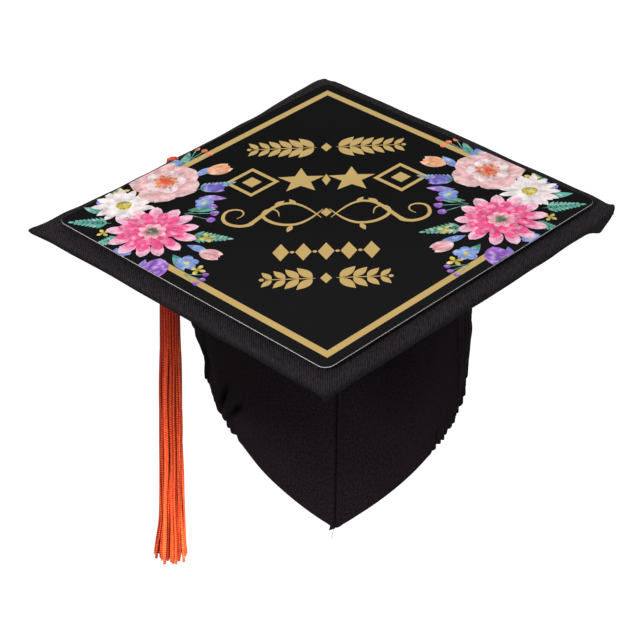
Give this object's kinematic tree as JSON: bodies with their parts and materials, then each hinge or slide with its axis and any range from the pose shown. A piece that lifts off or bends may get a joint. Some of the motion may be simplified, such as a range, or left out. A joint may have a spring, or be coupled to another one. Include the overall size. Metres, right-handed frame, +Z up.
{
  "type": "graduation cap",
  "caption": "Square academic cap: cloth-covered board on a soft skullcap with an elastic back, a raised card topper, and a tassel on a loop that turns and swings.",
  "frame": {"origin": "head seat: middle of the crown lining's underside, where the top of the head meets the cap", "axes": "+Z up, square to the board; -Y towards the skullcap's front point; +X to the right seen from the front. The board's corners lie on the X and Y axes."},
  "size_m": [0.3588, 0.3588, 0.3457],
  "materials": {
    "printed_card": "satin print",
    "pad_foam": "closed-cell foam",
    "cover_cloth": "ribbed twill",
    "skull_cloth": "plain weave",
    "lining_cloth": "smooth lining",
    "core_board": "raw",
    "button_plastic": "matte",
    "button_metal": "plain",
    "elastic_webbing": "woven elastic",
    "tassel_yarn": "bright chainette yarn",
    "tassel_binding": "wound thread"
  },
  "bodies": {
    "cap": {"topper_card": "printed_card", "topper_foam_pads": "pad_foam", "cover_top_panel": "cover_cloth", "cover_bottom_panel": "cover_cloth", "mortarboard_core": "core_board", "button": "button_plastic", "button_pin": "button_metal", "button_washer": "button_metal", "crown_lining": "lining_cloth", "skull_front_left": "skull_cloth", "skull_front_right": "skull_cloth", "skull_back_panel": "skull_cloth", "front_seam_tape": "lining_cloth", "front_hem_facing": "skull_cloth", "front_point_tab": "skull_cloth", "elastic_casing": "lining_cloth", "elastic_band": "elastic_webbing"},
    "tassel_loop": {"tassel_cord_loop": "tassel_yarn"},
    "tassel_drop": {"tassel_cord_drop": "tassel_yarn"},
    "tassel": {"tassel_knot": "tassel_yarn", "tassel_head": "tassel_yarn", "tassel_collar": "tassel_binding", "tassel_skirt": "tassel_yarn"}
  },
  "joints": [
    {"name": "tassel_turn", "type": "hinge", "parent": "cap", "child": "tassel_loop", "pos_m": [0, 0, 0.0086], "axis": [0, 0, 1], "range_deg": [-14, 0]},
    {"name": "tassel_swing_out", "type": "hinge", "parent": "tassel_loop", "child": "tassel_drop", "pos_m": [-0.10334, 0.07958, 0.0027], "axis": [0.6101, 0.7923, 0], "range_deg": [0, 85]},
    {"name": "tassel_swing_side", "type": "hinge", "parent": "tassel_drop", "child": "tassel", "pos_m": [-0.10821, 0.07958, -0.05911], "axis": [-0.7923, 0.6101, 0], "range_deg": [-50, 50]}
  ]
}
